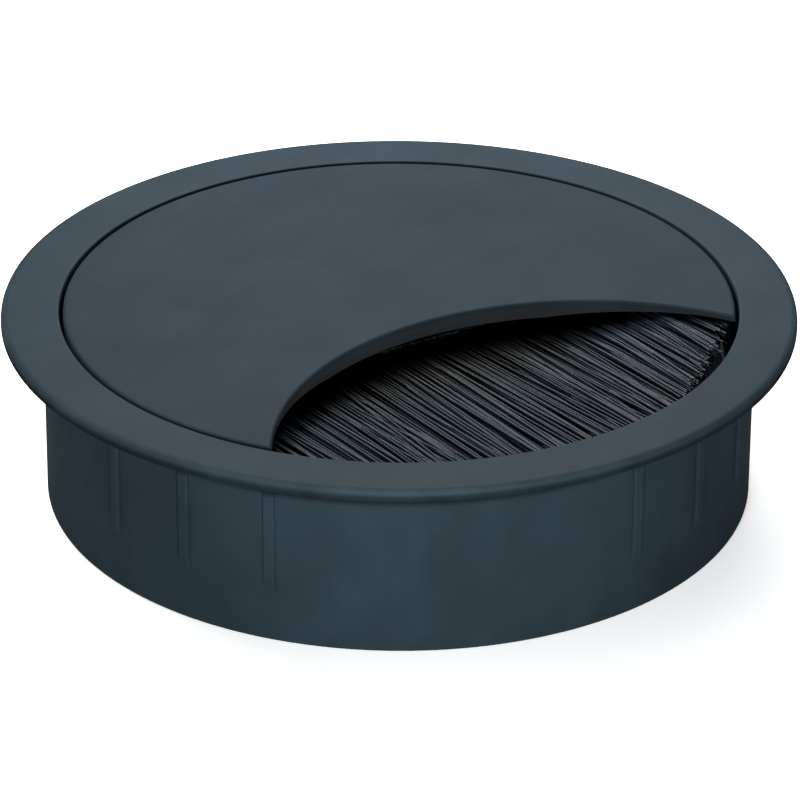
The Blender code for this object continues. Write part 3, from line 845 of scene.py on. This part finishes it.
def layStrands(s, index, rng):
    # root and tip of each strand in the level brush, then the run between them as points
    pitch, layer = brushLayer["length"] / s["count"], brushLayer["thickness"]
    left = -brushLayer["length"] / 2 + index * pitch
    rootX = left + (np.arange(s["strands"]) + 0.5) / s["strands"] * pitch
    rootX = rootX + rng.normal(0, 0.10, s["strands"])
    rootZ = 0.14 + (layer - 0.28) * rng.permutation((np.arange(s["strands"]) + 0.5) / s["strands"])
    centres = left + pitch * (np.sort(rng.uniform(0, 1, s["clumps"])) * 1.1 - 0.05)
    clump = np.abs(rootX[:, None] - centres[None, :] + rng.normal(0, 0.12, (s["strands"], 1))).argmin(1)
    clumpTilt = rng.normal(0, s["clumpTilt"], s["clumps"]) + 1.6 * sin(left * 0.23 + 0.7)
    tilt = np.tan(np.radians(clumpTilt[clump] + rng.normal(0, s["strandTilt"], s["strands"])))
    reach = np.sqrt(np.maximum(s["tipRadius"] ** 2 - rootX ** 2, 1)) + hinge["y"]
    gather = (centres[clump] - rootX) * s["gather"] * rng.uniform(0.4, 1.2, s["strands"])
    tipX = rootX + gather + tilt * reach
    # towards the right the brush stops a little short of the wall, then reaches it again at its end
    short = s["short"] * np.clip((tipX - 13) / 8, 0, 1) * np.clip((31 - tipX) / 3, 0, 1)
    edge = s["tipRadius"] - short + rng.normal(0, s["ragged"], s["strands"])
    longest = s["tipRadius"] + s["tipSpare"] - s["endShort"] * np.clip((tipX - 24) / 4, 0, 1)
    edge = np.minimum(edge, longest)
    tipX = np.clip(tipX, -edge + 4, edge - 4)
    tipY = -np.sqrt(edge ** 2 - tipX ** 2) - hinge["y"]
    tipZ = rootZ + rng.normal(0, 0.10, s["clumps"])[clump]
    # towards the right the strands rise into the hollow under the cover
    lift = s["lift"] * np.clip((rootX - 12) / 14, 0, 1) ** 1.1
    sideBow, heightBow = rng.normal(0, s["bow"], s["strands"]), rng.normal(0, 0.5 * s["bow"], s["strands"])
    steps = np.linspace(0, 1, s["rows"] + 1)
    rootY = s["insideChannel"]
    y = rootY + (tipY - rootY)[:, None] * steps
    free = np.clip((0.3 - y) / (0.3 - tipY)[:, None], 0, 1)
    x = rootX[:, None] + (tipX - rootX)[:, None] * free ** 1.15 + sideBow[:, None] * np.sin(pi * free)
    z = rootZ[:, None] + (tipZ - rootZ)[:, None] * free + heightBow[:, None] * np.sin(pi * free)
    z = np.clip(z, s["margin"], layer - s["margin"])
    z = z + lift[:, None] * np.sin(pi / 2 * np.clip(free / 0.6, 0, 1)) ** 1.4
    tone = 0.4 * rng.beta(2.0, 2.6, s["strands"]) + 0.6 * rng.beta(1.3, 1.7, s["clumps"])[clump]
    return np.stack([x, y, z], axis=2) * mm, np.clip(tone, 0, 1)


def makeTuft(s, filament, index, rng):
    tuft = copyPiece(filament, "nylon_tuft_%02d" % (index + 1))
    applyModifier(tuft, "ARRAY", count=s["strands"], use_relative_offset=False, use_constant_offset=True,
                  constant_offset_displace=(1, 0, 0))
    lines, tone = layStrands(s, index, rng)
    rows, sides = s["rows"] + 1, s["sides"]
    flat = np.empty(len(tuft.data.vertices) * 3)
    tuft.data.vertices.foreach_get("co", flat)
    points = flat.reshape(s["strands"], -1, 3)
    points[:, :, 0] -= np.arange(s["strands"])[:, None]
    row = np.rint(points[:, :, 2] * s["rows"]).astype(int)
    run = np.gradient(lines, axis=1)
    run /= np.linalg.norm(run, axis=2, keepdims=True)
    side = np.cross(run, [0, 0, 1.0])
    side /= np.linalg.norm(side, axis=2, keepdims=True)
    rise = np.cross(side, run)
    thick = rng.uniform(0.82, 1.12, s["strands"])[:, None, None]
    which = np.arange(s["strands"])[:, None]
    across = points[:, :, 0:1] * side[which, row] + points[:, :, 1:2] * rise[which, row]
    tuft.data.vertices.foreach_set("co", (lines[which, row] + thick * across).ravel())
    for name, values in (("strandTone", np.repeat(tone, points.shape[1])),
                         ("strandAlong", (row / s["rows"]).ravel())):
        layer = tuft.data.attributes.new(name, "FLOAT", "POINT")
        layer.data.foreach_set("value", values.astype(np.float32))
    tuft.data.update()
    openPiece(tuft)
    bpy.ops.mesh.select_all(action="SELECT")
    bpy.ops.mesh.normals_make_consistent(inside=False)
    tipUp(tuft)
    bpy.ops.object.shade_smooth_by_angle(angle=radians(75))
    return tuft


def makeTufts(s):
    rng = np.random.default_rng(s["seed"])
    filament = makeFilament(s)
    for index in range(s["count"]):
        tuft = makeTuft(s, filament, index, rng)
        number = "%02d" % (index + 1)
        tuft.data.materials.append(nylon)
        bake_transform(tuft)
        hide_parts("bristle_tuft_" + number)
    bpy.data.objects.remove(filament)


makeTufts(tuftSizes)
print("tufts done")


# floor, light and camera

softLights = {       # azimuth and elevation in degrees, distance and size in metres, power, tint
    "overhead": (148, 58, 0.36, (0.34, 0.30), 1.05, (0.95, 0.98, 1.0)),
    "left_lamp": (-150, 52, 0.40, (0.16, 0.16), 1.4, (0.95, 0.98, 1.0)),
    "back_window": (145, 33, 0.16, (0.12, 0.05), 0.31, (1.0, 1.0, 1.0)),
    "front_lamp": (-29, 3, 0.13, (0.04, 0.03), 0.15, (0.92, 0.98, 1.0))}
lookFrom = {"azimuth": radians(-32.2), "elevation": radians(26.15), "distance": 535.4 * mm, "lens": 215.3,
            "right": 0.15 * mm, "down": 10.96 * mm, "roll": radians(0.332)}


def makeFloor():
    restAll()
    bpy.ops.mesh.primitive_plane_add(size=6, location=(0, 0, -0.05 * mm))
    floor = bpy.context.object
    floor.name = floor.data.name = "studio_floor"
    closePiece(floor)
    floor.data.materials.append(paleFloor("pale_floor"))


def addSoftLight(name, azimuth, elevation, distance, size, power, tint):
    # an area light aimed at the rim
    a, e = radians(azimuth), radians(elevation)
    way = Vector((sin(a) * cos(e), -cos(a) * cos(e), sin(e)))
    light = bpy.data.lights.new(name, "AREA")
    light.shape = "RECTANGLE"
    light.size, light.size_y = size
    light.energy = power
    light.color = tint
    lamp = bpy.data.objects.new(name, light)
    lamp.location = way * distance + Vector((0, 0, rimTop))
    lamp.visible_camera = False
    lamp.rotation_euler = way.to_track_quat("Z", "Y").to_euler()
    bpy.context.collection.objects.link(lamp)


def makeLight():
    world = bpy.data.worlds.new("dim_studio")
    bpy.context.scene.world = world
    world.use_nodes = True
    backdrop = world.node_tree.nodes["Background"].inputs
    backdrop["Color"].default_value = (0.95, 0.98, 1.0, 1)
    backdrop["Strength"].default_value = 0.25
    for name, settings in softLights.items():
        addSoftLight(name, *settings)


def makeCamera(s):
    a, e = s["azimuth"], s["elevation"]
    away = Vector((sin(a) * cos(e), -cos(a) * cos(e), sin(e)))
    right = Vector((cos(a), sin(a), 0))
    up = away.cross(right)
    centre = Vector((0, 0, rimTop))
    lens = bpy.data.cameras.new("view")
    lens.lens, lens.sensor_width = s["lens"], 36
    lens.clip_start, lens.clip_end = 0.01, 20
    camera = bpy.data.objects.new("view", lens)
    camera.location = centre + away * s["distance"]
    aim = centre + right * s["right"] - up * s["down"]
    turn = (aim - camera.location).to_track_quat("-Z", "Y").to_matrix() @ Matrix.Rotation(s["roll"], 3, "Z")
    camera.rotation_euler = turn.to_euler()
    bpy.context.collection.objects.link(camera)
    bpy.context.scene.camera = camera


makeFloor()
makeLight()
makeCamera(lookFrom)
bpy.context.scene.view_settings.view_transform = "Standard"
print("floor, light and camera ready")
